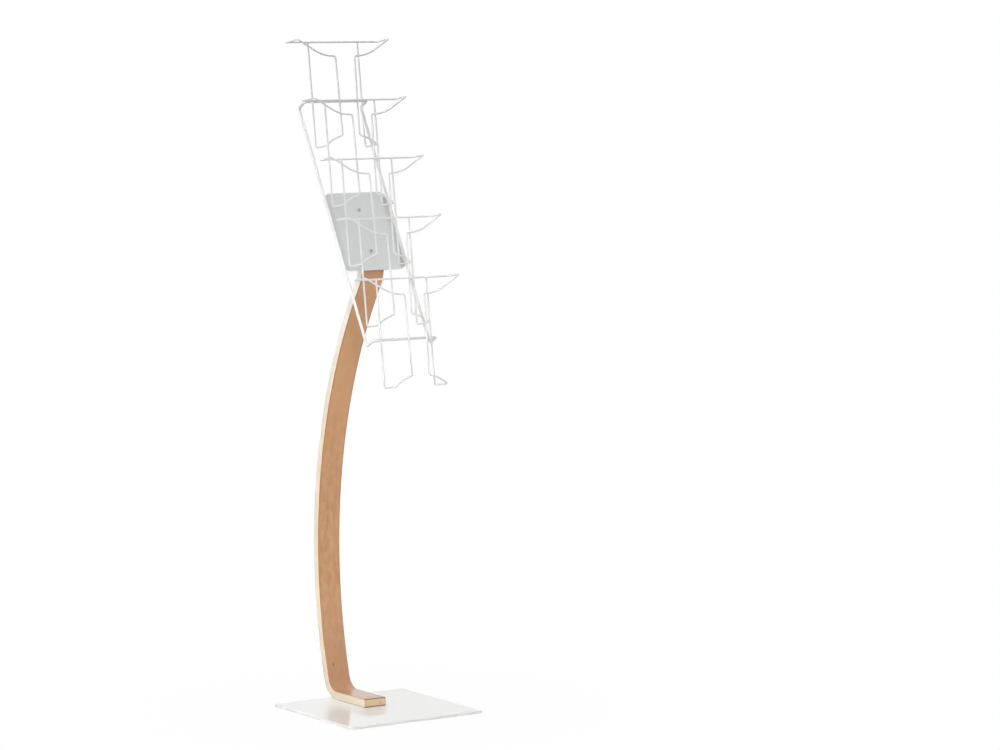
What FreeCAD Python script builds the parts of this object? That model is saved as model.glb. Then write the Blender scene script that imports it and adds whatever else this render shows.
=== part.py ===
import FreeCAD, Part
import Sketcher
import math
import os
from FreeCAD import Placement, Rotation, Vector

# A free-standing literature stand. A bent laminated strip rises from a flat
# steel base and carries a sloping wire rack of five equal pockets.
# The front of the stand looks along -Y. Lengths are in millimetres, angles in degrees.

SIZES = [
    # base plate and the pads under it
    ("baseWidth", 350),
    ("baseDepth", 350),
    ("baseThickness", 6),
    ("baseCornerRadius", 4),
    ("baseEdgeRadius", 1),
    ("padDiameter", 22),
    ("padThickness", 2),
    ("padInset", 28),
    # bent strip: foot, heel bend, long sweep, top bend, top run
    ("legWidth", 59),
    ("legThickness", 19.5),
    ("legEdgeRadius", 1.5),
    ("footSetback", 11),
    ("footLength", 126.1),
    ("heelRadius", 47.2),
    ("heelAngle", 74.9),
    ("sweepRadius", 1119.4),
    ("sweepAngle", 50.33),
    ("topBendRadius", 62),
    ("topRunLength", 137.6),
    # screws and inserts that hold the foot to the base
    ("footScrewSpacingX", 30),
    ("footScrewSpacingY", 78),
    ("footScrewEndGap", 26),
    ("footScrewShank", 5),
    ("footScrewHead", 12),
    ("footScrewLength", 16),
    ("footScrewSocket", 4),
    ("footScrewSocketDepth", 2),
    ("footScrewHoleClearance", 0.4),
    ("insertDiameter", 9),
    ("insertLength", 12),
    ("fastenerClearance", 0.05),
    # mounting plate, as wide as the frame
    ("plateThickness", 1.5),
    ("plateLength", 198),
    ("plateDrop", 44.4),
    ("plateCornerRadius", 19),
    # screws that hold the mounting plate to the top run
    ("plateScrewInset", 45),
    ("plateScrewPitch", 105),
    ("plateScrewHead", 11),
    ("plateScrewHeadHeight", 2.8),
    ("plateScrewShank", 5),
    ("plateScrewLength", 14),
    ("plateScrewSlotWidth", 1.5),
    ("plateScrewSlotLength", 6),
    ("plateScrewSlotDepth", 1.8),
    # sloping frame, one closed ring of thicker wire
    ("rackAngle", 28.4),
    ("frameWire", 6.35),
    ("frameHalfWidth", 83.5),
    ("frameBelowPlate", 190),
    ("frameBend", 7),
    # wire pockets
    ("pocketCount", 5),
    ("pocketPitch", 152),
    ("pocketAngle", 7.3),
    ("pocketWire", 4),
    ("pocketBend", 6),
    ("pocketHalfWidth", 122.5),
    ("pocketHeight", 245),
    ("rearWireHalf", 66.5),
    ("flareHalf", 68.5),
    ("flareDrop", 23),
    ("flareKneeAcrossShare", 0.56),
    ("flareKneeDropShare", 0.36),
    ("flareArcShare", 0.6),
    ("neckHalf", 25.7),
    ("neckDrop", 39),
    ("neckBend", 5),
    ("shoulderAngle", 31),
    ("shoulderRadius", 95),
    ("toeHalf", 22.6),
    ("crossWireDrop", 137),
    # how far a cut runs past what it cuts
    ("overrun", 5),
]

doc = FreeCAD.newDocument("literature_stand")
sheet = doc.addObject("Spreadsheet::Sheet", "sizes")
for row, (alias, value) in enumerate(SIZES, start=1):
    sheet.set("A%d" % row, alias)
    sheet.set("B%d" % row, str(value))
    sheet.setAlias("B%d" % row, alias)
doc.recompute()

parts = []


def size(alias):
    return float(sheet.get(alias))


def sine(angle):
    return math.sin(math.radians(angle))


def cosine(angle):
    return math.cos(math.radians(angle))


# Sketches and features

def newBody(label):
    body = doc.addObject("PartDesign::Body", label)
    body.Label = label
    parts.append(body)
    return body


def newSketch(body, name, role, offset=Placement()):
    sketch = body.newObject("Sketcher::SketchObject", name)
    plane = [f for f in body.Origin.OriginFeatures if f.Role == role][0]
    sketch.AttachmentSupport = [(plane, "")]
    sketch.MapMode = "FlatFace"
    sketch.AttachmentOffset = offset
    return sketch


def constrain(sketch, *terms, expression=None):
    index = sketch.addConstraint(Sketcher.Constraint(*terms))
    if expression:
        sketch.setExpression("Constraints[%d]" % index, expression)


def addLoop(sketch, points):
    """Closed outline of straight edges; returns the index of its first edge."""
    first = len(sketch.Geometry)
    count = len(points)
    for i in range(count):
        sketch.addGeometry(Part.LineSegment(points[i], points[(i + 1) % count]), False)
    for i in range(count):
        constrain(sketch, "Coincident", first + i, 2, first + (i + 1) % count, 1)
    return first


def addRectangle(sketch, width, height, centreY="0"):
    """Rectangle whose middle is on the sketch's Y axis, at height centreY."""
    seed = size("overrun")
    corners = [Vector(-seed, -seed), Vector(seed, -seed), Vector(seed, seed), Vector(-seed, seed)]
    first = addLoop(sketch, corners)
    for edge in (0, 2):
        constrain(sketch, "Horizontal", first + edge)
    for edge in (1, 3):
        constrain(sketch, "Vertical", first + edge)
    constrain(sketch, "DistanceX", first, 1, first, 2, 2 * seed, expression=width)
    constrain(sketch, "DistanceY", first + 1, 1, first + 1, 2, 2 * seed, expression=height)
    constrain(sketch, "DistanceX", -1, 1, first, 2, seed, expression="(%s) / 2" % width)
    constrain(sketch, "DistanceY", first, 2, -1, 1, seed, expression="(%s) / 2 - (%s)" % (height, centreY))


def addCircle(sketch, diameter, x="0", y="0"):
    seed = size("overrun")
    index = sketch.addGeometry(Part.Circle(Vector(seed, seed), Vector(0, 0, 1), seed), False)
    constrain(sketch, "Diameter", index, 2 * seed, expression=diameter)
    constrain(sketch, "DistanceX", -1, 1, index, 3, seed, expression=x)
    constrain(sketch, "DistanceY", -1, 1, index, 3, seed, expression=y)


def pad(body, sketch, name, length, midplane=False):
    feature = body.newObject("PartDesign::Pad", name)
    feature.Profile = sketch
    feature.setExpression("Length", length)
    feature.Midplane = midplane
    return feature


def cut(body, sketch, name, depth, reverse=False):
    """Pocket that must take something away."""
    doc.recompute()
    before = body.Shape.Volume
    feature = body.newObject("PartDesign::Pocket", name)
    feature.Profile = sketch
    feature.setExpression("Length", depth)
    feature.Reversed = reverse
    doc.recompute()
    if body.Shape.Volume >= before:
        raise ValueError("%s takes nothing away from %s" % (name, body.Label))


# Bent wires

def wireRoute(corners, radii, closed=False):
    """Straight runs through the corners, joined by tangent arcs of the given radii."""
    count = len(corners)
    inner = range(count) if closed else range(1, count - 1)
    joints = {}
    for i, radius in zip(inner, radii):
        corner = corners[i]
        back = (corners[i - 1] - corner).normalize()
        ahead = (corners[(i + 1) % count] - corner).normalize()
        half = back.getAngle(ahead) / 2
        reach = radius / math.tan(half)
        middle = corner + (back + ahead).normalize() * (radius / math.sin(half) - radius)
        joints[i] = (corner + back * reach, middle, corner + ahead * reach)
    edges = []
    for i in range(count if closed else count - 1):
        j = (i + 1) % count
        start = joints[i][2] if i in joints else corners[i]
        end = joints[j][0] if j in joints else corners[j]
        edges.append(Part.LineSegment(start, end).toShape())
        if j in joints:
            edges.append(Part.Arc(*joints[j]).toShape())
    return Part.Wire(edges)


def bentWire(label, corners, radii, diameter, role, closed=False):
    """Round wire along a route whose first run is square to the plane named by role."""
    body = newBody(label)
    route = doc.addObject("Part::Feature", label + "_route")
    route.Shape = wireRoute(corners, radii, closed)
    start = corners[0]
    if closed:
        start = (corners[0] + corners[-1]) / 2
    places = {
        "XZ_Plane": Vector(start.x, start.z, -start.y),
        "YZ_Plane": Vector(start.y, start.z, start.x)}
    section = newSketch(body, label + "_section", role, Placement(places[role], Rotation()))
    addCircle(section, diameter)
    pipe = body.newObject("PartDesign::AdditivePipe", label + "_pipe")
    pipe.Profile = section
    pipe.Spine = (route, ["Edge%d" % (i + 1) for i in range(len(route.Shape.Edges))])
    doc.recompute()
    expected = math.pi * size(diameter.split(".")[1]) ** 2 / 4 * route.Shape.Length
    volumeErrorShare = 0.01
    if abs(body.Shape.Volume / expected - 1) > volumeErrorShare:
        raise ValueError("%s is not a whole wire" % label)
    return body


# Where things stand. The stand is laid out from the middle of the base, on the floor.

baseTop = size("padThickness") + size("baseThickness")
legHalf = size("legThickness") / 2
leanBack = 90 - size("heelAngle")
leanForward = size("sweepAngle") - leanBack
slopeBack = Vector(0, cosine(size("rackAngle")), -sine(size("rackAngle")))

footEnd = Vector(0, size("footSetback"), baseTop)
heelStart = Vector(0, size("footLength"), legHalf)
heelEnd = heelStart + size("heelRadius") * Vector(
    0, sine(size("heelAngle")), 1 - cosine(size("heelAngle")))
sweepEnd = heelEnd + size("sweepRadius") * Vector(
    0, cosine(leanForward) - cosine(leanBack), sine(leanBack) + sine(leanForward))
topBendCentre = sweepEnd + size("topBendRadius") * Vector(0, cosine(leanForward), sine(leanForward))
topRunStart = topBendCentre - size("topBendRadius") * slopeBack
rackPose = Placement(
    footEnd + topRunStart - legHalf * slopeBack, Rotation(Vector(1, 0, 0), -size("rackAngle")))

upperScrewHeight = size("plateLength") - size("plateDrop") - size("plateScrewInset")
lowerScrewHeight = upperScrewHeight - size("plateScrewPitch")
plateHoleHeights = (
    "sizes.plateLength - sizes.plateDrop - sizes.plateScrewInset",
    "sizes.plateLength - sizes.plateDrop - sizes.plateScrewInset - sizes.plateScrewPitch")

pocketTurn = Rotation(Vector(1, 0, 0), size("rackAngle") - size("pocketAngle"))
pocketDepth = size("pocketPitch") * sine(size("rackAngle") - size("pocketAngle")) - size("pocketWire")
crossWireGap = (size("frameWire") + size("pocketWire")) / 2
heelOfPocket = pocketTurn.multVec(Vector(
    0, -size("pocketBend") - crossWireGap,
    size("pocketBend") + size("crossWireDrop") - size("pocketHeight")))
frameLength = (size("pocketCount") - 1) * size("pocketPitch")
frameBottom = -size("plateDrop") - size("frameBelowPlate")
sideWireY = -size("plateThickness") - size("frameWire") / 2
crossWireY = -size("plateThickness") - heelOfPocket.y - size("pocketBend") - size("pocketWire") / 2
firstPocket = Vector(0, crossWireY, frameBottom + frameLength) - pocketTurn.multVec(
    Vector(0, crossWireGap, -size("crossWireDrop")))


def pocketPose(index):
    origin = firstPocket - Vector(0, 0, index * size("pocketPitch"))
    return rackPose.multiply(Placement(origin, pocketTurn))


def footScrewPlaces():
    """Middles of the four foot screws, measured from the foot's front end."""
    for side in (-1, 1):
        for step in (0, 1):
            along = size("footScrewEndGap") + step * size("footScrewSpacingY")
            yield side * size("footScrewSpacingX") / 2, along


# Base plate, with countersunk holes from below

def makeBasePlate():
    body = newBody("base_plate")
    outline = newSketch(body, "base_outline", "XY_Plane")
    addRectangle(outline, "sizes.baseWidth", "sizes.baseDepth")
    plate = pad(body, outline, "base_sheet", "sizes.baseThickness")
    doc.recompute()
    edges = list(enumerate(body.Shape.Edges, start=1))
    upright = [number for number, edge in edges if edge.BoundBox.ZLength > size("baseEdgeRadius")]
    corners = body.newObject("PartDesign::Fillet", "base_corners")
    corners.Base = (plate, ["Edge%d" % number for number in upright])
    corners.setExpression("Radius", "sizes.baseCornerRadius")
    doc.recompute()
    edges = list(enumerate(body.Shape.Edges, start=1))
    rims = [number for number, edge in edges if edge.BoundBox.ZLength < size("baseEdgeRadius")]
    rounding = body.newObject("PartDesign::Fillet", "base_edges")
    rounding.Base = (corners, ["Edge%d" % number for number in rims])
    rounding.setExpression("Radius", "sizes.baseEdgeRadius")
    doc.recompute()
    centres = newSketch(body, "base_hole_centres", "XY_Plane")
    for side in ("-1", "1"):
        for step in ("0", "1"):
            addCircle(centres, "sizes.footScrewShank", side + " * sizes.footScrewSpacingX / 2",
                      "sizes.footSetback + sizes.footScrewEndGap + %s * sizes.footScrewSpacingY" % step)
    doc.recompute()
    before = body.Shape.Volume
    holes = body.newObject("PartDesign::Hole", "base_holes")
    holes.Profile = centres
    holes.Threaded = False
    holes.ThreadType = "None"
    holes.DepthType = "ThroughAll"
    holes.Reversed = True
    holes.setExpression("Diameter", "sizes.footScrewShank + 2 * sizes.footScrewHoleClearance")
    holes.HoleCutType = "Countersink"
    holes.setExpression("HoleCutDiameter", "sizes.footScrewHead + sizes.footScrewHoleClearance")
    holes.HoleCutCountersinkAngle = 90
    doc.recompute()
    if body.Shape.Volume >= before:
        raise ValueError("the base has no holes")
    body.Placement = Placement(Vector(0, 0, size("padThickness")), Rotation())


def makeBasePad(number, x, y):
    body = newBody("base_pad_%d" % number)
    outline = newSketch(body, body.Label + "_outline", "XY_Plane")
    addCircle(outline, "sizes.padDiameter")
    pad(body, outline, body.Label + "_disc", "sizes.padThickness")
    body.Placement = Placement(Vector(x, y, 0), Rotation())


def makeBasePads():
    reachX = size("baseWidth") / 2 - size("padInset")
    reachY = size("baseDepth") / 2 - size("padInset")
    corners = [(-1, -1), (1, -1), (1, 1), (-1, 1)]
    for number, (signX, signY) in enumerate(corners, start=1):
        makeBasePad(number, signX * reachX, signY * reachY)


# Bent strip that carries the rack

def addLegCentreLine(sketch):
    """Foot, heel bend, long sweep, top bend and top run, each tangent to the next."""
    upTop = Vector(sine(size("rackAngle")), cosine(size("rackAngle")))
    heelCentre = Vector(heelStart.y, heelStart.z + size("heelRadius"))
    sweepCentre = heelCentre + (size("heelRadius") - size("sweepRadius")) * Vector(
        cosine(leanBack), -sine(leanBack))
    bendCentre = Vector(topBendCentre.y, topBendCentre.z)
    points = [Vector(p.y, p.z) for p in (Vector(0, 0, legHalf), heelStart, heelEnd, sweepEnd, topRunStart)]

    def arc(centre, radius, first, last):
        circle = Part.Circle(centre, Vector(0, 0, 1), radius)
        turn = Part.ArcOfCircle(circle, math.radians(first), math.radians(last))
        return sketch.addGeometry(turn, False)

    foot = sketch.addGeometry(Part.LineSegment(points[0], points[1]), False)
    heel = arc(heelCentre, size("heelRadius"), -90, -leanBack)
    sweep = arc(sweepCentre, size("sweepRadius"), -leanBack, leanForward)
    bend = arc(bendCentre, size("topBendRadius"), 180 - size("rackAngle"), 180 + leanForward)
    run = sketch.addGeometry(
        Part.LineSegment(points[4], points[4] + size("topRunLength") * upTop), False)
    constrain(sketch, "Horizontal", foot)
    constrain(sketch, "DistanceX", -1, 1, foot, 1, 0)
    constrain(sketch, "DistanceY", -1, 1, foot, 1, legHalf, expression="sizes.legThickness / 2")
    constrain(sketch, "DistanceX", foot, 1, foot, 2, size("footLength"), expression="sizes.footLength")
    constrain(sketch, "Tangent", foot, 2, heel, 1)
    constrain(sketch, "Tangent", heel, 2, sweep, 1)
    constrain(sketch, "Tangent", sweep, 2, bend, 2)
    constrain(sketch, "Tangent", bend, 1, run, 1)
    constrain(sketch, "Radius", heel, size("heelRadius"), expression="sizes.heelRadius")
    constrain(sketch, "Radius", sweep, size("sweepRadius"), expression="sizes.sweepRadius")
    constrain(sketch, "Radius", bend, size("topBendRadius"), expression="sizes.topBendRadius")
    constrain(sketch, "Distance", run, size("topRunLength"), expression="sizes.topRunLength")
    constrain(sketch, "DistanceX", -1, 1, heel, 2, heelEnd.y,
              expression="sizes.footLength + sizes.heelRadius * sin(sizes.heelAngle * 1 deg)")
    constrain(sketch, "Angle", run, math.radians(90 - size("rackAngle")),
              expression="(90 - sizes.rackAngle) * 1 deg")


def runsAlongLeg(edge):
    """True for the strip's long edges, false for those across its width or thickness."""
    onSide = edge.BoundBox.XLength < size("legEdgeRadius")
    return onSide and abs(edge.Length - size("legThickness")) > size("legEdgeRadius")


def makeLeg():
    body = newBody("leg")
    line = newSketch(body, "leg_centre_line", "YZ_Plane")
    addLegCentreLine(line)
    section = newSketch(body, "leg_section", "XZ_Plane")
    addRectangle(section, "sizes.legWidth", "sizes.legThickness", "sizes.legThickness / 2")
    strip = body.newObject("PartDesign::AdditivePipe", "leg_strip")
    strip.Profile = section
    strip.Spine = (line, ["Edge%d" % (i + 1) for i in range(len(line.Geometry))])
    doc.recompute()
    edges = enumerate(body.Shape.Edges, start=1)
    along = [number for number, edge in edges if runsAlongLeg(edge)]
    easing = body.newObject("PartDesign::Fillet", "leg_eased_edges")
    easing.Base = (strip, ["Edge%d" % number for number in along])
    easing.setExpression("Radius", "sizes.legEdgeRadius")
    doc.recompute()
    inserts = newSketch(body, "leg_insert_holes", "XY_Plane")
    for side in ("-1", "1"):
        for step in ("0", "1"):
            addCircle(inserts, "sizes.insertDiameter", side + " * sizes.footScrewSpacingX / 2",
                      "sizes.footScrewEndGap + %s * sizes.footScrewSpacingY" % step)
    cut(body, inserts, "leg_insert_bores",
        "sizes.insertLength + sizes.fastenerClearance", reverse=True)
    facePose = Placement(footEnd, Rotation()).inverse().multiply(rackPose)
    planePose = Rotation(Vector(1, 0, 0), 90)
    offset = Placement(planePose.inverted().multVec(facePose.Base),
                       planePose.inverted().multiply(facePose.Rotation).multiply(planePose))
    pilots = newSketch(body, "leg_pilot_holes", "XZ_Plane", offset)
    for height in plateHoleHeights:
        addCircle(pilots, "sizes.plateScrewShank + 2 * sizes.fastenerClearance", y=height)
    cut(body, pilots, "leg_pilot_bores",
        "sizes.plateScrewLength - sizes.plateThickness + sizes.fastenerClearance")
    body.Placement = Placement(footEnd, Rotation())


# Fasteners

def revolveProfile(body, name, points):
    """Turns an outline in the XZ plane about Z."""
    sketch = newSketch(body, name + "_profile", "XZ_Plane")
    addLoop(sketch, points)
    turn = body.newObject("PartDesign::Revolution", name)
    turn.Profile = sketch
    turn.ReferenceAxis = (sketch, ["V_Axis"])
    turn.Angle = 360
    doc.recompute()


def makeFootScrew(number, x, y):
    """Countersunk machine screw, head down, with a hexagon socket."""
    body = newBody("foot_screw_%d" % number)
    head = size("footScrewHead") / 2
    shank = size("footScrewShank") / 2 - size("fastenerClearance")
    revolveProfile(body, body.Label + "_blank", [
        Vector(0, 0), Vector(head, 0), Vector(shank, head - shank),
        Vector(shank, size("footScrewLength")), Vector(0, size("footScrewLength"))])
    socket = newSketch(body, body.Label + "_socket", "XY_Plane")
    corner = size("footScrewSocket") / 2 / cosine(30)
    addLoop(socket, [Vector(corner * cosine(60 * i), corner * sine(60 * i)) for i in range(6)])
    cut(body, socket, body.Label + "_recess", "sizes.footScrewSocketDepth", reverse=True)
    body.Placement = Placement(footEnd + Vector(x, y, -size("baseThickness")), Rotation())


def makeFootInsert(number, x, y):
    """Brass sleeve in the foot, threaded inside."""
    body = newBody("foot_insert_%d" % number)
    outline = newSketch(body, body.Label + "_outline", "XY_Plane")
    addCircle(outline, "sizes.insertDiameter - 2 * sizes.fastenerClearance")
    addCircle(outline, "sizes.footScrewShank")
    pad(body, outline, body.Label + "_sleeve", "sizes.insertLength")
    body.Placement = Placement(footEnd + Vector(x, y, 0), Rotation())


def makePlateScrew(label, height):
    """Pan-head screw with a cross recess; its shank points back into the strip."""
    body = newBody(label)
    head = size("plateScrewHead") / 2
    shank = size("plateScrewShank") / 2
    tall = size("plateScrewHeadHeight")
    crownShare = 0.72
    revolveProfile(body, label + "_blank", [
        Vector(0, tall), Vector(head * crownShare, tall), Vector(head, tall * (1 - crownShare)),
        Vector(head, 0), Vector(shank, 0),
        Vector(shank, -size("plateScrewLength")), Vector(0, -size("plateScrewLength"))])
    lift = Placement(Vector(0, 0, tall), Rotation())
    slots = [("sizes.plateScrewSlotLength", "sizes.plateScrewSlotWidth"),
             ("sizes.plateScrewSlotWidth", "sizes.plateScrewSlotLength")]
    for number, (across, up) in enumerate(slots, start=1):
        slot = newSketch(body, "%s_slot_%d" % (label, number), "XY_Plane", lift)
        addRectangle(slot, across, up)
        cut(body, slot, "%s_recess_%d" % (label, number), "sizes.plateScrewSlotDepth")
    seat = Vector(0, -size("plateThickness"), height)
    body.Placement = rackPose.multiply(Placement(seat, Rotation(Vector(1, 0, 0), 90)))


# Mounting plate, flat, with rounded corners

def makeMountingPlate():
    body = newBody("mounting_plate")
    outline = newSketch(body, "plate_outline", "XZ_Plane")
    addRectangle(outline, "2 * sizes.frameHalfWidth", "sizes.plateLength",
                 "sizes.plateLength / 2 - sizes.plateDrop")
    blank = pad(body, outline, "plate_blank", "sizes.plateThickness")
    doc.recompute()
    edges = enumerate(body.Shape.Edges, start=1)
    across = [number for number, edge in edges if edge.BoundBox.YLength > size("plateThickness") / 2]
    corners = body.newObject("PartDesign::Fillet", "plate_corners")
    corners.Base = (blank, ["Edge%d" % number for number in across])
    corners.setExpression("Radius", "sizes.plateCornerRadius")
    inFront = Placement(Vector(0, 0, size("plateThickness") + size("overrun")), Rotation())
    holes = newSketch(body, "plate_screw_holes", "XZ_Plane", inFront)
    for height in plateHoleHeights:
        addCircle(holes, "sizes.plateScrewShank + 2 * sizes.fastenerClearance", y=height)
    cut(body, holes, "plate_holes", "sizes.plateThickness + 2 * sizes.overrun")
    body.Placement = rackPose


# Wire frame: side wires along the mounting plate, ends bent forward to the cross wires

def makeFrame():
    half = size("frameHalfWidth")
    top = frameBottom + frameLength
    corners = [
        Vector(half, crossWireY, frameBottom), Vector(half, sideWireY, frameBottom),
        Vector(half, sideWireY, top), Vector(half, crossWireY, top),
        Vector(-half, crossWireY, top), Vector(-half, sideWireY, top),
        Vector(-half, sideWireY, frameBottom), Vector(-half, crossWireY, frameBottom)]
    radii = [size("frameBend")] * len(corners)
    body = bentWire("wire_frame", corners, radii, "sizes.frameWire", "YZ_Plane", closed=True)
    body.Placement = rackPose


# Wire pockets: a straight back bar and two mirrored loops each

def loopCorners(side):
    """Corners of one side loop in the pocket's frame: X across, Y back, Z up along the pocket."""
    wireHalf = size("pocketWire") / 2
    neck = size("neckDrop")
    shoulder = size("pocketHalfWidth") - neck / math.tan(math.radians(size("shoulderAngle")))
    front = -pocketDepth
    bottom = -size("pocketHeight")
    flareWidth = size("flareHalf") - size("toeHalf")
    kneeHalf = size("toeHalf") + size("flareKneeAcrossShare") * flareWidth
    kneeHeight = bottom + (1 - size("flareKneeDropShare")) * size("flareDrop")
    return [
        Vector(side * size("pocketHalfWidth"), -wireHalf, 0),
        Vector(side * size("pocketHalfWidth"), front, 0),
        Vector(side * shoulder, front, -neck),
        Vector(side * size("neckHalf"), front, -neck),
        Vector(side * size("toeHalf"), front, bottom + size("flareDrop")),
        Vector(side * kneeHalf, front, kneeHeight),
        Vector(side * size("flareHalf"), front, bottom),
        Vector(side * size("rearWireHalf"), 0, bottom),
        Vector(side * size("rearWireHalf"), 0, -wireHalf)]


def loopBends(corners):
    """Bend radii at the loop's corners; the knee's arc takes its share of the shorter run."""
    sharp = size("pocketBend")
    toe, knee, flareEnd = corners[4:7]
    shorter = min((toe - knee).Length, (flareEnd - knee).Length)
    halfTurn = (knee - toe).getAngle(flareEnd - knee) / 2
    kneeRadius = size("flareArcShare") * shorter / math.tan(halfTurn)
    return [sharp, size("shoulderRadius"), size("neckBend"), sharp, kneeRadius, sharp, sharp]


def makePocket(index):
    name = "pocket_%d" % (index + 1)
    pose = pocketPose(index)
    bar = newBody(name + "_back_bar")
    section = newSketch(bar, bar.Label + "_section", "YZ_Plane")
    addCircle(section, "sizes.pocketWire")
    pad(bar, section, bar.Label + "_rod", "2 * sizes.pocketHalfWidth + sizes.pocketWire", midplane=True)
    bar.Placement = pose
    for sideName, side in (("left", -1), ("right", 1)):
        label = "%s_%s_loop" % (name, sideName)
        corners = loopCorners(side)
        loop = bentWire(label, corners, loopBends(corners), "sizes.pocketWire", "XZ_Plane")
        loop.Placement = pose


makeBasePlate()
makeBasePads()
makeLeg()
for screwNumber, (screwX, screwY) in enumerate(footScrewPlaces(), start=1):
    makeFootScrew(screwNumber, screwX, screwY)
    makeFootInsert(screwNumber, screwX, screwY)
makeMountingPlate()
makePlateScrew("plate_screw_lower", lowerScrewHeight)
makePlateScrew("plate_screw_upper", upperScrewHeight)
makeFrame()
for pocketIndex in range(int(size("pocketCount"))):
    makePocket(pocketIndex)
doc.recompute()

# The origin goes under the middle of the whole stand.
extent = Part.makeCompound([part.Shape for part in parts]).optimalBoundingBox(False, False)
toMiddle = Vector(-extent.Center.x, -extent.Center.y, -extent.ZMin)
for part in parts:
    part.Placement = Placement(part.Placement.Base + toMiddle, part.Placement.Rotation)
doc.recompute()

for item in doc.Objects:
    if "Invalid" in item.State or "Error" in item.State:
        raise ValueError("%s failed: %s" % (item.Label, item.State))
for part in parts:
    if part.Shape.isNull() or not part.Shape.isValid() or not part.Shape.Solids:
        raise ValueError("%s has no valid solid" % part.Label)

os.makedirs("parts", exist_ok=True)
for part in parts:
    part.Shape.exportStep("parts/%s.step" % part.Label)
print("%d parts, shifted by %s" % (len(parts), toMiddle))
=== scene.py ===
import math
import bmesh
import bpy
from mathutils import Matrix, Vector, noise


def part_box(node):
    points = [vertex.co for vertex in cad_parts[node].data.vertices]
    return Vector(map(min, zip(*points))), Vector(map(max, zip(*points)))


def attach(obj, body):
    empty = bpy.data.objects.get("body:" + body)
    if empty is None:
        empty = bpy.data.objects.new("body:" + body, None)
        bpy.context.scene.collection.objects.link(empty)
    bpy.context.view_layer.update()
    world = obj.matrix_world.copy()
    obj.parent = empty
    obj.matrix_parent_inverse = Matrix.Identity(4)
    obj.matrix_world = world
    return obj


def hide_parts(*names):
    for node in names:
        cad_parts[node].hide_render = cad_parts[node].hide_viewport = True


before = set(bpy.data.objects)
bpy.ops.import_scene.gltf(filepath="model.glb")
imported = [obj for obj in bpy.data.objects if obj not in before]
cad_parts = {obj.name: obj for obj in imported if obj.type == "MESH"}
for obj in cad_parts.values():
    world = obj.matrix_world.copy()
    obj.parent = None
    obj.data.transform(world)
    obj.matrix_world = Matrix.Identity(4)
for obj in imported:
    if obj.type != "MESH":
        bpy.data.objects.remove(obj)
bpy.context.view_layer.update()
mm = 0.001
tiny = 0.001 * mm  # points nearer than this are one
near = 0.01 * mm  # and a point this near a plane is on it


def linear(hexColour):  # sRGB hex to the linear values that shaders take
    channels = [int(hexColour[i:i + 2], 16) / 255 for i in (1, 3, 5)]
    return [c / 12.92 if c <= 0.04045 else ((c + 0.055) / 1.055) ** 2.4 for c in channels] + [1]


def add(tree, kind, inputs=None, **settings):  # one shader node with its settings and links
    node = tree.nodes.new("ShaderNode" + kind)
    for name, value in settings.items():
        setattr(node, name, value)
    for key, value in (inputs or {}).items():
        if isinstance(value, bpy.types.Node):  # a node stands for its first output
            value = value.outputs[0]
        if isinstance(value, bpy.types.NodeSocket):
            tree.links.new(value, node.inputs[key])
        else:
            node.inputs[key].default_value = value
    return node


def newMaterial(name):
    material = bpy.data.materials.new(name)
    material.use_nodes = True
    tree = material.node_tree
    tree.nodes.clear()
    return material, tree


def finishMaterial(tree, shader, bump):
    tree.links.new(bump.outputs["Normal"], shader.inputs["Normal"])
    add(tree, "OutputMaterial", {"Surface": shader})


def patternScale(size):  # noise scale whose features are about this many millimetres
    return 1 / (size * mm)


def newObject(name, bm):
    mesh = bpy.data.meshes.new(name)
    bm.to_mesh(mesh)
    bm.free()
    made = bpy.data.objects.new(name, mesh)
    bpy.context.scene.collection.objects.link(made)
    return made


def newPiece(name, bm, materials):
    piece = newObject(name, bm)
    for material in materials:
        piece.data.materials.append(material)
    piece.data.shade_smooth()
    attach(piece, "root")
    return piece


# Materials: sizes in millimetres

lacquer = {"colour": "#F7F7F6", "shade": "#F5F5F4", "ior": 1.46, "roughness": 0.045, "roughLow": 0.8,
           "roughHigh": 1.4, "wave": 9, "waveHeight": 0.004, "tone": 60, "paintedShade": "#E9E9E7",
           "paintedShadeFrom": 1.2, "paintedShadeTo": 0.4}
powder = {"colour": "#EDEDEC", "shade": "#E7E7E6", "ior": 1.45, "roughness": 0.42, "roughLow": 0.85,
          "roughHigh": 1.15, "peel": 2.4, "peelHeight": 0.008, "tone": 45}
silver = {"colour": "#D9DCDA", "fleck": "#E2E4E2", "shade": "#D3D6D4", "roughness": 0.45, "metallic": 0.1,
          "grain": 0.9, "fleckFrom": 0.58, "fleckTo": 0.7, "tone": 70, "peelHeight": 0.012,
          "wireShade": "#B4B7B5", "wireShadeFrom": 64, "wireShadeTo": 74, "wireShadeShare": 0.42}
zinc = {"colour": "#D2D2D0", "shade": "#C2C3C3", "roughness": 0.3, "grain": 0.5, "metallic": 1}
recessShade = {"colour": "#1F2021", "shade": "#18191A", "roughness": 0.6, "grain": 0.4, "metallic": 0}
rimShade = {"colour": "#9A9C9D", "shade": "#85878A", "roughness": 0.6, "grain": 1.5, "metallic": 0}
smallRelief = 0.01  # bump on screws, inserts and pads


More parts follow.
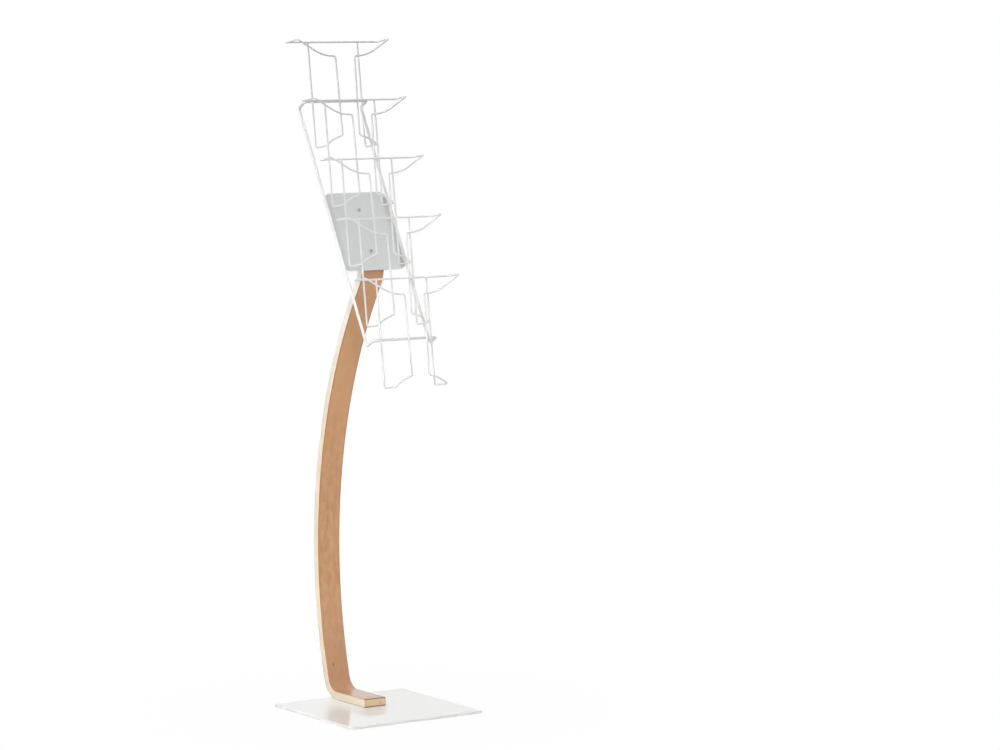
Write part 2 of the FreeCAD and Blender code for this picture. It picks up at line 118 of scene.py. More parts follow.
def glossLacquer():
    # sheet steel in a gloss sprayed lacquer: clear reflections with a faint long wave
    material, tree = newMaterial("glossLacquer")
    place = add(tree, "TexCoord").outputs["Object"]
    tone = add(tree, "TexNoise", {"Vector": place, "Scale": patternScale(lacquer["tone"]), "Detail": 4})
    colour = add(tree, "Mix", {"Factor": tone.outputs["Fac"], "A": linear(lacquer["colour"]),
                               "B": linear(lacquer["shade"])}, data_type="RGBA")
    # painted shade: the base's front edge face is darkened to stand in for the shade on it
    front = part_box("base_plate")[0][1]
    forward = add(tree, "SeparateXYZ", {"Vector": place}).outputs["Y"]
    frontShadeMask = add(tree, "MapRange", {"Value": forward, "From Min": front + lacquer["paintedShadeFrom"] * mm,
                                   "From Max": front + lacquer["paintedShadeTo"] * mm})
    colour = add(tree, "Mix", {"Factor": frontShadeMask, "A": colour.outputs["Result"],
                               "B": linear(lacquer["paintedShade"])}, data_type="RGBA")
    wave = add(tree, "TexNoise", {"Vector": place, "Scale": patternScale(lacquer["wave"]), "Detail": 1})
    bump = add(tree, "Bump", {"Height": wave.outputs["Fac"], "Distance": lacquer["waveHeight"] * mm,
                              "Strength": 1})
    rough = add(tree, "MapRange", {"Value": tone, "To Min": lacquer["roughness"] * lacquer["roughLow"],
                                   "To Max": lacquer["roughness"] * lacquer["roughHigh"]})
    shader = add(tree, "BsdfPrincipled", {"Base Color": colour.outputs["Result"], "Roughness": rough,
                                          "IOR": lacquer["ior"]})
    finishMaterial(tree, shader, bump)
    return material


def powderCoat():
    # polyester powder on steel wire: half gloss with a soft orange peel
    material, tree = newMaterial("powderCoat")
    place = add(tree, "TexCoord").outputs["Object"]
    tone = add(tree, "TexNoise", {"Vector": place, "Scale": patternScale(powder["tone"]), "Detail": 3})
    colour = add(tree, "Mix", {"Factor": tone.outputs["Fac"], "A": linear(powder["colour"]),
                               "B": linear(powder["shade"])}, data_type="RGBA")
    peel = add(tree, "TexNoise", {"Vector": place, "Scale": patternScale(powder["peel"]), "Detail": 2})
    bump = add(tree, "Bump", {"Height": peel.outputs["Fac"], "Distance": powder["peelHeight"] * mm,
                              "Strength": 1})
    rough = add(tree, "MapRange", {"Value": peel, "To Min": powder["roughness"] * powder["roughLow"],
                                   "To Max": powder["roughness"] * powder["roughHigh"]})
    shader = add(tree, "BsdfPrincipled", {"Base Color": colour.outputs["Result"], "Roughness": rough,
                                          "IOR": powder["ior"]})
    finishMaterial(tree, shader, bump)
    return material


def silverCoat():
    # aluminium-effect powder on sheet steel: satin grey with bright flecks, drawn far coarser than
    # the real ones, which would be too fine to show
    material, tree = newMaterial("silverCoat")
    place = add(tree, "TexCoord").outputs["Object"]
    tone = add(tree, "TexNoise", {"Vector": place, "Scale": patternScale(silver["tone"]), "Detail": 3})
    ground = add(tree, "Mix", {"Factor": tone.outputs["Fac"], "A": linear(silver["colour"]),
                               "B": linear(silver["shade"])}, data_type="RGBA")
    grain = add(tree, "TexNoise", {"Vector": place, "Scale": patternScale(silver["grain"]), "Detail": 1})
    fleck = add(tree, "MapRange", {"Value": grain, "From Min": silver["fleckFrom"],
                                   "From Max": silver["fleckTo"]})
    colour = add(tree, "Mix", {"Factor": fleck, "A": ground.outputs["Result"],
                               "B": linear(silver["fleck"])}, data_type="RGBA")
    # painted shade: the plate is darker along the frame wires at both sides, for the wires' shade on it
    across = add(tree, "SeparateXYZ", {"Vector": place}).outputs["X"]
    fromMiddle = add(tree, "Math", {0: across}, operation="ABSOLUTE")
    wireShade = add(tree, "MapRange", {"Value": fromMiddle, "From Min": silver["wireShadeFrom"] * mm,
                                  "From Max": silver["wireShadeTo"] * mm, "To Max": silver["wireShadeShare"]})
    colour = add(tree, "Mix", {"Factor": wireShade, "A": colour.outputs["Result"],
                               "B": linear(silver["wireShade"])}, data_type="RGBA")
    bump = add(tree, "Bump", {"Height": grain.outputs["Fac"], "Distance": silver["peelHeight"] * mm,
                              "Strength": 1})
    shader = add(tree, "BsdfPrincipled", {"Base Color": colour.outputs["Result"],
                                          "Metallic": silver["metallic"],
                                          "Roughness": silver["roughness"]})
    finishMaterial(tree, shader, bump)
    return material


def cloudy(name, finish):
    # screws, inserts and pads: a plain tone that clouds over the size of its grain
    material, tree = newMaterial(name)
    place = add(tree, "TexCoord").outputs["Object"]
    tone = add(tree, "TexNoise", {"Vector": place, "Scale": patternScale(finish["grain"]), "Detail": 2})
    colour = add(tree, "Mix", {"Factor": tone.outputs["Fac"], "A": linear(finish["colour"]),
                               "B": linear(finish["shade"])}, data_type="RGBA")
    bump = add(tree, "Bump", {"Height": tone.outputs["Fac"], "Distance": smallRelief * mm,
                              "Strength": 1})
    shader = add(tree, "BsdfPrincipled", {"Base Color": colour.outputs["Result"],
                                          "Metallic": finish["metallic"], "Roughness": finish["roughness"]})
    finishMaterial(tree, shader, bump)
    return material


wireFinish = powderCoat()
screwFinish = cloudy("zincPlate", zinc)  # bright plating: a soft metal sheen
recessShadeFinish = cloudy("screwRecessShade", recessShade)  # painted shade: the cross recess coloured near black for its shade, and dull
rimFinish = cloudy("screwRimShade", rimShade)  # painted shade: a grey line at the foot of the head, for the shade in the corner where it meets the plate


# Bent strip: sizes in millimetres, turns in degrees

strip = {"width": 59, "thickness": 19.5, "easing": 1.5, "easingSegments": 4, "endEasing": 2.4,
         "rimEasing": 0.5, "rimSegments": 3, "cornerShares": (1, 0.8, 0.6, 0.4, 0.22),
         "footEnd": (0, 0.398, 8), "footLength": 126.1, "heelRadius": 47.2, "heelAngle": 74.9,
         "sweepRadius": 1119.4, "sweepAngle": 50.33, "bendRadius": 62, "rackAngle": 28.4,
         "topRun": 137.6, "heelSteps": 20, "sweepSteps": 45, "bendSteps": 18, "straightSteps": 6,
         "sharpAngle": 35}
slope = math.radians(strip["rackAngle"])
rackUp = Vector((0, math.sin(slope), math.cos(slope)))
rackOut = Vector((0, -rackUp.z, rackUp.y))
wood = {"face": "#CD996A", "faceLight": "#D8A779", "faceDark": "#BF8B5C", "faceTopLight": "#E1A772",
        "heelShade": "#AA7950", "bendShade": "#AE8468", "edge": "#A97B50", "knot": "#6E4526",
        "fleck": "#A87748", "plyFront": "#FFEBCB", "plyBack": "#FBF1DD", "plyTop": "#FDFBF1",
        "plyDark": "#D8C7AC", "glue": "#C4A676", "end": "#CEB785", "endRight": "#E3BC9A",
        "endDark": "#5E3C26", "footEndVeneerShade": "#4A2E18",
        "roughness": 0.5, "ior": 1.5, "coat": 1, "coatRoughness": 0.14, "relief": 0.03,
        "streakRelief": 0.4, "poreRelief": -1.2, "veneer": 0.7, "veneerBlur": 0.08,
        "plyThickness": 4.9, "plyOffset": 100.5,  # keeps the count above 0, with a ply in the middle
        "archPlace": 560, "archDrop": 0.2, "archPitch": 46, "archWander": 60,
        # marks along, across and through the strip; a size of 0 has no end that way
        "knotPlace": (217.5, -10.6, 0), "knotSize": (4.4, 1.9, 0), "knotWander": 0.8,
        "blotchPlace": (0, 14, -2), "blotchSize": (0, 4.2, 2.4),
        # noises: length along the strip, width and detail
        "noises": {"streak": (150, 9, 3), "mottle": (24, 12, 3), "arch": (60, 14, 2),
                   "pore": (4, 0.8, 1), "knot": (3, 2, 1), "ply": (60, 1.2, 3)},
        # tones: where each sets in, where it is full, and its share if that isn't the whole
        "spans": {"streak": (0.35, 0.65), "mottle": (0.42, 0.66, 0.6), "arch": (0.1, 0.9),
                  "archFade": (110, 30, 0.55), "top": (600, 870, 0.7), "heel": (400, 170, 0.8),
                  "bend": (1172, 1192, 0.36), "pore": (0.68, 0.76, 0.4), "knot": (3, 0.6),
                  "knotFront": (-0.1, 0.1, 0.85), "edge": (4, 1.2, 0.75), "faceEnd": (2.2, 0.6, 0.9),
                  "plyFront": (-3, 7.5), "plyTint": (0, 2, 0.28), "plyHeelShade": (330, 120, 0.55),
                  "plyTop": (870, 1120, 0.8), "plyGlue": (0.37, 0.45, 0.36), "footSideVeneerShade": (-8, -8.8),
                  "footFade": (190, 130, 0.75), "endAcross": (-22, 22), "endGlue": (0.4, 0.46, 0.4),
                  "blotch": (1.6, 0.2, 0.35), "endRight": (26.6, 28.4, 0.8), "endTop": (7.2, 8.6, 0.85),
                  "endFoot": (-7.2, -8.2, 0.95), "end": (0.6, 0.2)}}


def bentPly():
    # bent laminated wood: stained face veneers over pale plies, under a clear half-gloss lacquer;
    # its pores and plies are drawn coarser than the real ones, which would be too fine to show
    material, tree = newMaterial("bentPly")
    spans = wood["spans"]
    grain = add(tree, "Attribute", attribute_name="grain").outputs["Vector"]
    inMm = add(tree, "VectorMath", {0: grain, "Scale": 1 / mm}, operation="SCALE").outputs["Vector"]
    axes = add(tree, "SeparateXYZ", {"Vector": inMm})
    along, across, depth = [axes.outputs[i] for i in range(3)]
    noises = {}
    for name, (length, width, detail) in wood["noises"].items():
        drawnOut = add(tree, "Mapping", {"Vector": inMm, "Scale": (1 / length, 1 / width, 1 / width)})
        noises[name] = add(tree, "TexNoise", {"Vector": drawnOut, "Scale": 1, "Detail": detail})

    def lay(ground, tone, value, low, high, share=1):
        # lays a tone over the ground: it sets in where the value is low, and has its share at high
        cover = add(tree, "MapRange", {"Value": value, "From Min": low, "From Max": high, "To Max": share})
        colours = [linear(wood[c]) if isinstance(c, str) else c for c in (ground, tone)]
        return add(tree, "Mix", {"Factor": cover, "A": colours[0], "B": colours[1]},
                   data_type="RGBA").outputs["Result"]

    def ovalMark(place, size):  # 0 in the middle of a mark, 1 at its rim and more outside it
        scale = [1 / s if s else 0 for s in size]
        shift = [-p * s for p, s in zip(place, scale)]
        local = add(tree, "Mapping", {"Vector": inMm, "Location": shift, "Scale": scale})
        return add(tree, "VectorMath", {0: local, 1: local}, operation="DOT_PRODUCT").outputs["Value"]

    # nested arches of a flat-cut veneer, strongest half way up
    square = add(tree, "Math", {0: across, 1: across}, operation="MULTIPLY")
    height = add(tree, "Math", {0: square, 1: wood["archDrop"], 2: along}, operation="MULTIPLY_ADD")
    height = add(tree, "Math", {0: noises["arch"], 1: wood["archWander"], 2: height},
                 operation="MULTIPLY_ADD")
    turn = add(tree, "Math", {0: height, 1: 2 * math.pi / wood["archPitch"]}, operation="MULTIPLY")
    arch = add(tree, "Math", {0: turn}, operation="SINE")
    fromArches = add(tree, "Math", {0: along, 1: wood["archPlace"]}, operation="SUBTRACT")
    fromArches = add(tree, "Math", {0: fromArches}, operation="ABSOLUTE")
    fades = {"archFade": fromArches, "knotFront": depth, "footFade": along, "pore": noises["pore"]}
    for name, value in fades.items():
        low, high, share = spans[name]
        fades[name] = add(tree, "MapRange", {"Value": value, "From Min": low, "From Max": high,
                                             "To Max": share})
    face = lay("faceDark", "face", noises["streak"], *spans["streak"])
    face = lay(face, "faceLight", noises["mottle"], *spans["mottle"])
    face = lay(face, "faceLight", arch, *spans["arch"], fades["archFade"])
    # painted light and shade: the face is paler towards the top and darker towards the heel, for how light
    # falls along it, and darker again on the top bend for the shade under the plate
    face = lay(face, "faceTopLight", along, *spans["top"])
    face = lay(face, "heelShade", along, *spans["heel"])
    face = lay(face, "bendShade", along, *spans["bend"])
    face = lay(face, "fleck", fades["pore"], 0, 1)
    # one small knot on the front, with the stain darker round it
    fromKnot = add(tree, "Math", {0: noises["knot"], 1: wood["knotWander"],
                                  2: ovalMark(wood["knotPlace"], wood["knotSize"])},
                   operation="MULTIPLY_ADD")
    face = lay(face, "knot", fromKnot, *spans["knot"], fades["knotFront"])
    fromMiddle = add(tree, "Math", {0: across}, operation="ABSOLUTE")
    fromEdge = add(tree, "Math", {0: strip["width"] / 2, 1: fromMiddle}, operation="SUBTRACT")
    face = lay(face, "edge", fromEdge, *spans["edge"])
    face = lay(face, "endDark", along, *spans["faceEnd"])
    # plies: warm next to the front face, paler towards the back and the top
    layer = add(tree, "Math", {0: depth, 1: wood["plyThickness"]}, operation="DIVIDE")
    layer = add(tree, "Math", {0: layer, 1: wood["plyOffset"]}, operation="ADD")
    inPly = add(tree, "Math", {0: layer}, operation="FRACT")
    fromPly = add(tree, "Math", {0: inPly, 1: 0.5}, operation="SUBTRACT")
    fromPly = add(tree, "Math", {0: fromPly}, operation="ABSOLUTE")
    number = add(tree, "Math", {0: layer}, operation="FLOOR")
    tint = add(tree, "TexWhiteNoise", {"W": number}, noise_dimensions="1D").outputs["Value"]
    tint = add(tree, "Math", {0: tint, 1: noises["ply"]}, operation="ADD")
    ply = lay("plyBack", "plyFront", depth, *spans["plyFront"])
    ply = lay(ply, "plyDark", tint, *spans["plyTint"])
    # painted shade: the plies darken towards the heel, near the base
    ply = lay(ply, "plyDark", along, *spans["plyHeelShade"])
    ply = lay(ply, "plyTop", along, *spans["plyTop"])
    ply = lay(ply, "glue", fromPly, *spans["plyGlue"])
    # a dark line along the foot's lower side edges: the bottom veneer's edge, with painted shade where the
    # foot meets the base
    ply = lay(ply, "edge", depth, *spans["footSideVeneerShade"], fades["footFade"])
    # end grain of the foot: a blotch, and dark lines at its right, top and bottom; the bottom line is the
    # veneer's edge with painted shade where the foot meets the base
    endGrain = lay("end", "endRight", across, *spans["endAcross"])
    endGrain = lay(endGrain, "glue", fromPly, *spans["endGlue"])
    blotch = ovalMark(wood["blotchPlace"], wood["blotchSize"])
    endGrain = lay(endGrain, "knot", blotch, *spans["blotch"])
    endGrain = lay(endGrain, "endDark", across, *spans["endRight"])
    endGrain = lay(endGrain, "endDark", depth, *spans["endTop"])
    endGrain = lay(endGrain, "footEndVeneerShade", depth, *spans["endFoot"])
    ply = lay(ply, endGrain, along, *spans["end"])
    fromCore = add(tree, "Math", {0: depth}, operation="ABSOLUTE")
    veneerFrom = strip["thickness"] / 2 - wood["veneer"]
    colour = lay(ply, face, fromCore, veneerFrom - wood["veneerBlur"], veneerFrom + wood["veneerBlur"])
    relief = add(tree, "Math", {0: fades["pore"], 1: wood["poreRelief"]}, operation="MULTIPLY")
    relief = add(tree, "Math", {0: noises["streak"], 1: wood["streakRelief"], 2: relief},
                 operation="MULTIPLY_ADD")
    bump = add(tree, "Bump", {"Height": relief, "Distance": wood["relief"] * mm, "Strength": 1})
    shader = add(tree, "BsdfPrincipled", {
        "Base Color": colour, "Roughness": wood["roughness"], "IOR": wood["ior"],
        "Coat Weight": wood["coat"], "Coat Roughness": wood["coatRoughness"]})
    finishMaterial(tree, shader, bump)
    return material


def easeFoot(bm, grain):  # softens the rim of the foot's end, then rounds its upright corners
    thick = strip["thickness"] * mm
    end = {v for v in bm.verts if abs(v.co.y) < near and v.co.z < thick + near}
    rim = [e for e in bm.edges if all(v in end for v in e.verts)
           and any(v not in end for f in e.link_faces for v in f.verts)]
    bmesh.ops.bevel(bm, geom=rim, offset=strip["rimEasing"] * mm, offset_type="OFFSET",
                    affect="EDGES", segments=strip["rimSegments"], profile=0.5, material=-1)
    radius = strip["endEasing"] * mm
    for v in bm.verts:
        if v.co.y < 2 * strip["rimEasing"] * mm and v.co.z < thick + near:
            inside = max(abs(v.co.x) - (strip["width"] / 2 * mm - radius), 0)
            v.co.y += radius - math.sqrt(max(radius ** 2 - inside ** 2, 0))
            v[grain] = (v.co.y, v.co.x, v.co.z - thick / 2)


def bentStrip():
    bm = bmesh.new()
    grain = bm.verts.layers.float_vector.new("grain")
    halfWidth = strip["width"] / 2 * mm
    halfThick = strip["thickness"] / 2 * mm
    bmesh.ops.create_grid(bm, x_segments=1, y_segments=1, size=1)
    bmesh.ops.scale(bm, vec=(halfWidth, halfThick, 1), verts=bm.verts)
    bmesh.ops.bevel(bm, geom=list(bm.verts), offset=strip["easing"] * mm, offset_type="OFFSET",
                    affect="VERTICES", segments=strip["easingSegments"], profile=0.5, material=-1)
    for share in strip["cornerShares"]:  # columns for the foot's rounded corners
        for side in (-1, 1):
            column = side * (halfWidth - strip["endEasing"] * share * mm)
            bmesh.ops.bisect_plane(bm, geom=bm.faces[:] + bm.edges[:] + bm.verts[:], dist=tiny,
                                   plane_co=(column, 0, 0), plane_no=(1, 0, 0))
    for v in bm.verts:
        v[grain] = (0, v.co.x, v.co.y)
    upright = Matrix.Rotation(math.radians(90), 3, "X")
    bmesh.ops.rotate(bm, cent=(0, 0, 0), matrix=upright, verts=bm.verts)
    bmesh.ops.translate(bm, vec=(0, 0, halfThick), verts=bm.verts)
    state = {"geom": bm.faces[:] + bm.edges[:] + bm.verts[:], "length": 0.0}

    def advance(steps, length, move=None, centre=None, angle=0):
        # draws the section on along a straight move, or round a centre
        for step in range(steps):
            if centre is None:
                state["geom"] = bmesh.ops.extrude_face_region(bm, geom=state["geom"])["geom"]
            else:
                state["geom"] = bmesh.ops.spin(bm, geom=state["geom"], cent=centre, axis=(1, 0, 0),
                                               angle=angle / steps, steps=1)["geom_last"]
            ring = [g for g in state["geom"] if isinstance(g, bmesh.types.BMVert)]
            if centre is None:
                bmesh.ops.translate(bm, vec=move / steps, verts=ring)
            state["length"] += length / steps
            for v in ring:
                v[grain] = (state["length"], v[grain].y, v[grain].z)
        return ring

    def middle(ring):
        return sum((v.co for v in ring), Vector()) / len(ring)

    heel = math.radians(strip["heelAngle"])
    sweep = math.radians(strip["sweepAngle"])
    leanBack = math.pi / 2 - heel
    leanForward = sweep - leanBack
    bend = leanForward + slope
    foot, top = strip["footLength"] * mm, strip["topRun"] * mm
    ring = advance(strip["straightSteps"], foot, move=Vector((0, foot, 0)))
    heelCentre = middle(ring) + Vector((0, 0, strip["heelRadius"] * mm))
    ring = advance(strip["heelSteps"], strip["heelRadius"] * mm * heel, centre=heelCentre, angle=heel)
    inward = (heelCentre - middle(ring)).normalized()
    sweepCentre = middle(ring) + inward * strip["sweepRadius"] * mm
    ring = advance(strip["sweepSteps"], strip["sweepRadius"] * mm * sweep, centre=sweepCentre, angle=sweep)
    inward = (middle(ring) - sweepCentre).normalized()
    bendCentre = middle(ring) + inward * strip["bendRadius"] * mm
    ring = advance(strip["bendSteps"], strip["bendRadius"] * mm * bend, centre=bendCentre, angle=-bend)
    runStart = middle(ring)
    advance(strip["straightSteps"], top, move=top * rackUp)
    easeFoot(bm, grain)
    bmesh.ops.translate(bm, vec=Vector(strip["footEnd"]) * mm, verts=bm.verts)
    bmesh.ops.recalc_face_normals(bm, faces=bm.faces)
    piece = newPiece("bentStrip", bm, [bentPly()])
    piece.data.set_sharp_from_angle(angle=math.radians(strip["sharpAngle"]))
    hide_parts("leg")
    return runStart + Vector(strip["footEnd"]) * mm + halfThick * rackOut


rackOrigin = bentStrip()  # where the mounting plate's back meets the strip's front face
print("bent strip done")

# Plate screws: sizes in millimetres, heights up the slope from the end of the strip's top bend

plate = {"thickness": 1.5, "halfWidth": 83.5, "frameWire": 6.35}
screw = {"heights": {"plate_screw_lower": 3.6, "plate_screw_upper": 108.6}, "head": 11, "headHeight": 2.8,
         "rim": 0.9, "domeSteps": 8, "domeBulge": 0.6, "shadedRim": 0.86, "slotLength": 5.4, "slotWidth": 2.1,
         "slotDepth": 1.9, "slotTaper": 0.6, "overcut": 1, "shank": 5, "shankLength": 14, "steps": 40,
         "turn": 32, "steep": 0.5, "sharpAngle": 40}


def onRack(x, out, up):  # millimetres across, out of the plate's back and up the slope
    return rackOrigin + (Vector((x, 0, 0)) + out * rackOut + up * rackUp) * mm


def crossCutter():
    bm = bmesh.new()
    far, close = screw["slotLength"] / 2, screw["slotWidth"] / 2
    lidHeight = screw["headHeight"] + screw["overcut"]
    quarter = [(far, -close), (far, close), (close, close)]
    points = []
    for turn in range(4):
        points += [Matrix.Rotation(turn * math.pi / 2, 2) @ Vector(p) for p in quarter]
    lid = bm.faces.new([bm.verts.new((p.x * mm, p.y * mm, lidHeight * mm)) for p in points])
    grown = bmesh.ops.extrude_face_region(bm, geom=[lid])
    floor = [g for g in grown["geom"] if isinstance(g, bmesh.types.BMVert)]
    bmesh.ops.translate(bm, vec=(0, 0, -(screw["slotDepth"] + screw["overcut"]) * mm), verts=floor)
    bmesh.ops.scale(bm, vec=(screw["slotTaper"], screw["slotTaper"], 1), verts=floor)
    bmesh.ops.recalc_face_normals(bm, faces=bm.faces)
    return newObject("crossCutter", bm)


def plateScrew(node, height, number):
    # pan head: a low dome over a short rim, on a plain shank
    bm = bmesh.new()
    head, shank = screw["head"] / 2 * mm, screw["shank"] / 2 * mm
    rim, top = screw["rim"] * mm, screw["headHeight"] * mm
    tip = -screw["shankLength"] * mm
    profile = [(0, tip), (shank, tip), (shank, 0), (head, 0)]
    for step in range(screw["domeSteps"]):
        angle = math.pi / 2 * step / screw["domeSteps"]
        profile.append((head * math.cos(angle) ** screw["domeBulge"], rim + (top - rim) * math.sin(angle)))
    profile.append((0, top))
    verts = [bm.verts.new((x, 0, z)) for x, z in profile]
    edges = [bm.edges.new(pair) for pair in zip(verts, verts[1:])]
    bmesh.ops.spin(bm, geom=verts + edges, cent=(0, 0, 0), axis=(0, 0, 1), angle=2 * math.pi,
                   steps=screw["steps"], use_merge=True)
    bmesh.ops.remove_doubles(bm, verts=bm.verts, dist=tiny)
    bmesh.ops.recalc_face_normals(bm, faces=bm.faces)
    piece = newPiece("plateScrew%d" % number, bm, [screwFinish, recessShadeFinish, rimFinish])
    cutter = crossCutter()
    recessCut = piece.modifiers.new("crossRecess", "BOOLEAN")
    recessCut.operation = "DIFFERENCE"
    recessCut.object = cutter
    graph = bpy.context.evaluated_depsgraph_get()
    cutMesh = bpy.data.meshes.new_from_object(piece.evaluated_get(graph))
    piece.modifiers.clear()
    bpy.data.objects.remove(cutter)
    slotFloor = (screw["headHeight"] - screw["slotDepth"]) * mm
    for face in cutMesh.polygons:
        out, up = face.center.xy.length, face.center.z
        inSlot = out < screw["slotLength"] / 2 * mm
        # painted shade: the recess faces take the near black recess finish
        if up > near and inSlot and (up < slotFloor + near or abs(face.normal.z) < screw["steep"]):
            face.material_index = 1
        # painted shade: the head's outer faces take the grey rim finish
        elif up > near and out > screw["shadedRim"] * head:
            face.material_index = 2
        else:
            face.material_index = 0
    lean = Matrix((Vector((1, 0, 0)), rackUp, rackOut)).transposed().to_4x4()
    turned = lean @ Matrix.Rotation(math.radians(screw["turn"]), 4, "Z")
    cutMesh.transform(Matrix.Translation(onRack(0, plate["thickness"], height)) @ turned)
    cutMesh.set_sharp_from_angle(angle=math.radians(screw["sharpAngle"]))
    piece.data = cutMesh
    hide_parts(node)


for number, (node, height) in enumerate(screw["heights"].items(), start=1):
    plateScrew(node, height, number)
print("plate screws done")

# Welds: sizes in millimetres; a pocket's places run from the middle of its back bar, and the plate's
# stitches up the slope

pocket = {"angle": 7.3, "wire": 4, "barReach": 122.5, "rearWire": 66.5, "frontWire": 23.96,
          "nextBar": (-52.7, -141.8), "frameWire": -137, "count": 5}
bead = {"long": 2.7, "thick": 1.7, "rough": 0.22, "roughSize": 1.4, "plateStitches": (-20, 50, 120),
        "stitchShare": 0.3, "stitchLift": 0.4}


def inPocket(number, x, back, up):  # millimetres across, back and up, as the pocket leans
    low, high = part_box("pocket_%d_back_bar" % number)
    turn = math.radians(pocket["angle"])
    backAxis = Vector((0, math.cos(turn), -math.sin(turn)))
    upAxis = Vector((0, math.sin(turn), math.cos(turn)))
    middle = (Vector(low) + Vector(high)) / 2
    return middle + (Vector((x, 0, 0)) + back * backAxis + up * upAxis) * mm


def weldPlaces():  # each weld's place and the way that it runs
    half = pocket["wire"] / 2
    sideways = Vector((1, 0, 0))
    for number in range(1, pocket["count"] + 1):
        for side in (-1, 1):
            rear = side * pocket["rearWire"]
            yield inPocket(number, side * pocket["barReach"], -half, 0), sideways
            yield inPocket(number, rear, 0, -half), sideways
            if number < pocket["count"]:
                yield inPocket(number, side * pocket["frontWire"], *pocket["nextBar"]), sideways
            if number in (1, pocket["count"]):
                yield inPocket(number, rear, half, pocket["frameWire"]), sideways
    inner = plate["halfWidth"] - plate["frameWire"] * bead["stitchShare"]
    for side in (-1, 1):
        for height in bead["plateStitches"]:
            yield onRack(side * inner, plate["thickness"] + bead["stitchLift"], height), rackUp


def weldBeads():
    # small welds where wires meet, under the same powder as the wires
    bm = bmesh.new()
    shape = Vector((bead["long"], bead["thick"], bead["thick"])) * mm
    for place, along in weldPlaces():
        made = bmesh.ops.create_icosphere(bm, subdivisions=2, radius=1)
        lean = along.to_track_quat("X", "Z").to_matrix()
        bmesh.ops.scale(bm, vec=shape, verts=made["verts"])
        bmesh.ops.rotate(bm, cent=(0, 0, 0), matrix=lean, verts=made["verts"])
        bmesh.ops.translate(bm, vec=place, verts=made["verts"])
        for v in made["verts"]:
            swell = noise.noise(v.co / (bead["roughSize"] * mm)) * bead["rough"]
            v.co += (v.co - place) * swell
    newPiece("weldBeads", bm, [wireFinish])


weldBeads()
print("weld beads done")

# CAD pieces take their finish

# turned brass gives a warm metal sheen, moulded rubber a matt near black
brass = {"colour": "#C9A45A", "shade": "#B28F49", "roughness": 0.35, "grain": 2, "metallic": 1}
rubber = {"colour": "#2B2B2B", "shade": "#242424", "roughness": 0.8, "grain": 1, "metallic": 0}
finishes = {"base_plate": glossLacquer(), "mounting_plate": silverCoat(),
            "base_pad": cloudy("padRubber", rubber), "foot_screw": screwFinish,
            "plate_screw": screwFinish, "foot_insert": cloudy("insertBrass", brass),
            "wire_frame": wireFinish, "pocket": wireFinish}

for name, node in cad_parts.items():
    if name != "leg":
        node.data.materials.clear()
        node.data.materials.append(next(finishes[key] for key in finishes if name.startswith(key)))
print("finishes done")

# Floor, light and camera

studio = {"floorSize": 12, "floorTone": "#DEDEDE", "whiteNear": 0.97, "nearEdge": 0.25, "farEdge": 0.8,
          "fromLeft": 0.47, "fromRight": 0.22, "keyPower": 500, "keySize": 6,
          "keyPlace": (-5.13, -0.63, 8.18), "keyAim": (0, 0, 0.8), "keySpread": 180,
          "fillPower": 15.9, "fillSize": 3.6, "fillPlace": (-3.1, -6.2, 1.4),
          "fillAim": (0, 0, -0.52), "fillSpread": 8}
view = {"focal": 3397.6, "middleX": 373.1, "middleY": 362.6, "azimuth": -31.32, "elevation": 4.79,
        "roll": -0.013, "distance": 7.7906, "target": (0, -0.0106, 0.808), "width": 1000, "height": 750,
        "sensor": 36, "clipEnd": 100}  # focal and middle in pixels, roll in radians


def floorMaterial():
    # white paper sweep: pure white away from the base, where the eye sees no edge
    material, tree = newMaterial("floorWhite")
    seen = add(tree, "LightPath")
    place = add(tree, "TexCoord").outputs["Object"]
    reach = add(tree, "VectorMath", {0: place}, operation="LENGTH").outputs["Value"]
    white = add(tree, "MapRange", {"Value": reach, "From Min": studio["nearEdge"],
                                   "From Max": studio["farEdge"], "To Min": studio["whiteNear"]})
    share = add(tree, "Math", {0: seen.outputs["Is Camera Ray"], 1: white}, operation="MULTIPLY")
    diffuse = add(tree, "BsdfDiffuse", {"Color": linear(studio["floorTone"])})
    glow = add(tree, "Emission", {"Color": (1, 1, 1, 1), "Strength": 1})
    both = add(tree, "MixShader", {0: share, 1: diffuse, 2: glow})
    add(tree, "OutputMaterial", {"Surface": both})
    return material


def makeStage():
    bm = bmesh.new()
    bmesh.ops.create_grid(bm, x_segments=1, y_segments=1, size=studio["floorSize"])
    floor = newObject("floor", bm)
    floor.data.materials.append(floorMaterial())


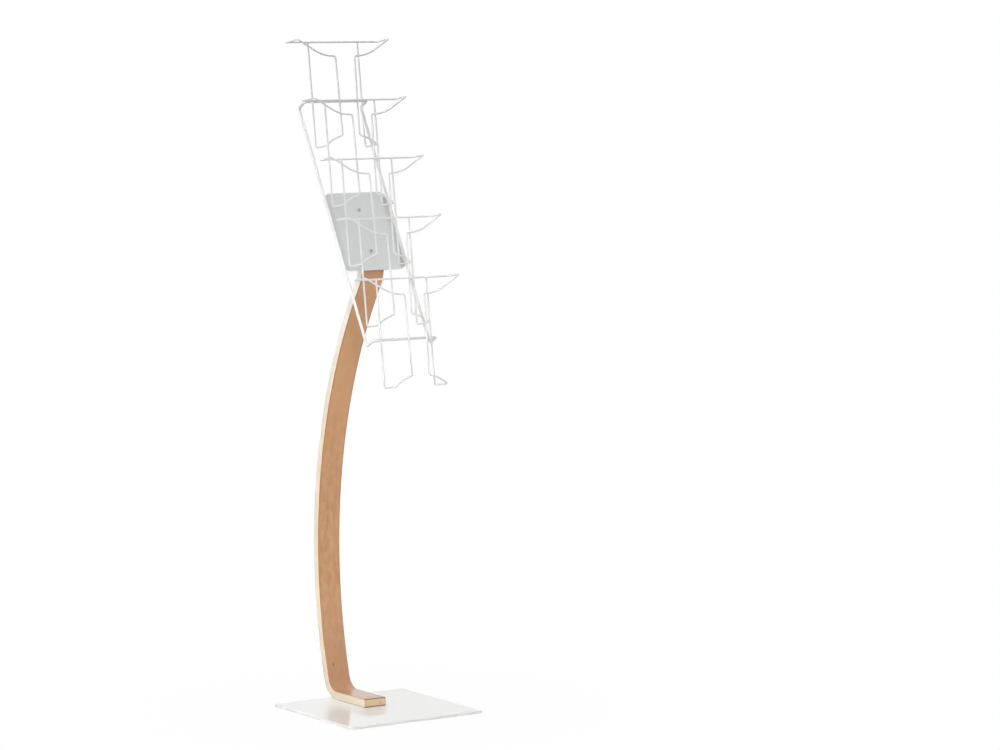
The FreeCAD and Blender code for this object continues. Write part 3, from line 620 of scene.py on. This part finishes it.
def makeWorld():
    # a soft white sky, brighter from the left; the eye, metal and glass see it plain white
    world = bpy.data.worlds.new("studio")
    bpy.context.scene.world = world
    world.use_nodes = True
    tree = world.node_tree
    tree.nodes.clear()
    seen = add(tree, "LightPath").outputs
    looked = add(tree, "Math", {0: seen["Is Camera Ray"], 1: seen["Is Glossy Ray"]}, operation="MAXIMUM")
    looked = add(tree, "Math", {0: looked, 1: seen["Is Transmission Ray"]}, operation="MAXIMUM")
    direction = add(tree, "TexCoord").outputs["Generated"]
    side = add(tree, "SeparateXYZ", {"Vector": direction}).outputs["X"]
    soft = add(tree, "MapRange", {"Value": side, "From Min": -1, "From Max": 1,
                                  "To Min": studio["fromLeft"], "To Max": studio["fromRight"]})
    strength = add(tree, "MapRange", {"Value": looked, "To Min": soft, "To Max": 1})
    light = add(tree, "Background", {"Color": (1, 1, 1, 1), "Strength": strength})
    add(tree, "OutputWorld", {"Surface": light})


def makeLamp(name):
    # a narrow spread is a grid on the lamp: the fill's light falls off towards the stand's top
    place = Vector(studio[name + "Place"])
    lamp = bpy.data.lights.new(name, "AREA")
    lamp.energy = studio[name + "Power"]
    lamp.size = studio[name + "Size"]
    lamp.spread = math.radians(studio[name + "Spread"])
    holder = bpy.data.objects.new(name, lamp)
    bpy.context.scene.collection.objects.link(holder)
    holder.location = place
    aim = Vector(studio[name + "Aim"]) - place
    holder.rotation_euler = aim.to_track_quat("-Z", "Y").to_euler()


def makeCamera():
    yaw = math.radians(view["azimuth"])
    pitch = math.radians(view["elevation"])
    outward = Vector((math.sin(yaw) * math.cos(pitch), -math.cos(yaw) * math.cos(pitch), math.sin(pitch)))
    right = Vector((0, 0, 1)).cross(outward).normalized()
    up = outward.cross(right)
    turnedRight = math.cos(view["roll"]) * right + math.sin(view["roll"]) * up
    turnedUp = math.cos(view["roll"]) * up - math.sin(view["roll"]) * right
    camera = bpy.data.cameras.new("camera")
    holder = bpy.data.objects.new("camera", camera)
    bpy.context.scene.collection.objects.link(holder)
    rotation = Matrix((turnedRight, turnedUp, outward)).transposed().to_4x4()
    place = Vector(view["target"]) + view["distance"] * outward
    holder.matrix_world = Matrix.Translation(place) @ rotation
    camera.sensor_fit = "HORIZONTAL"
    camera.sensor_width = view["sensor"]
    camera.lens = view["focal"] / view["width"] * view["sensor"]
    camera.shift_x = (view["width"] / 2 - view["middleX"]) / view["width"]
    camera.shift_y = (view["middleY"] - view["height"] / 2) / view["width"]
    camera.clip_end = view["clipEnd"]
    bpy.context.scene.camera = holder


makeStage()
makeWorld()
makeLamp("key")
makeLamp("fill")
makeCamera()
bpy.context.scene.view_settings.view_transform = "Standard"
print("studio done")
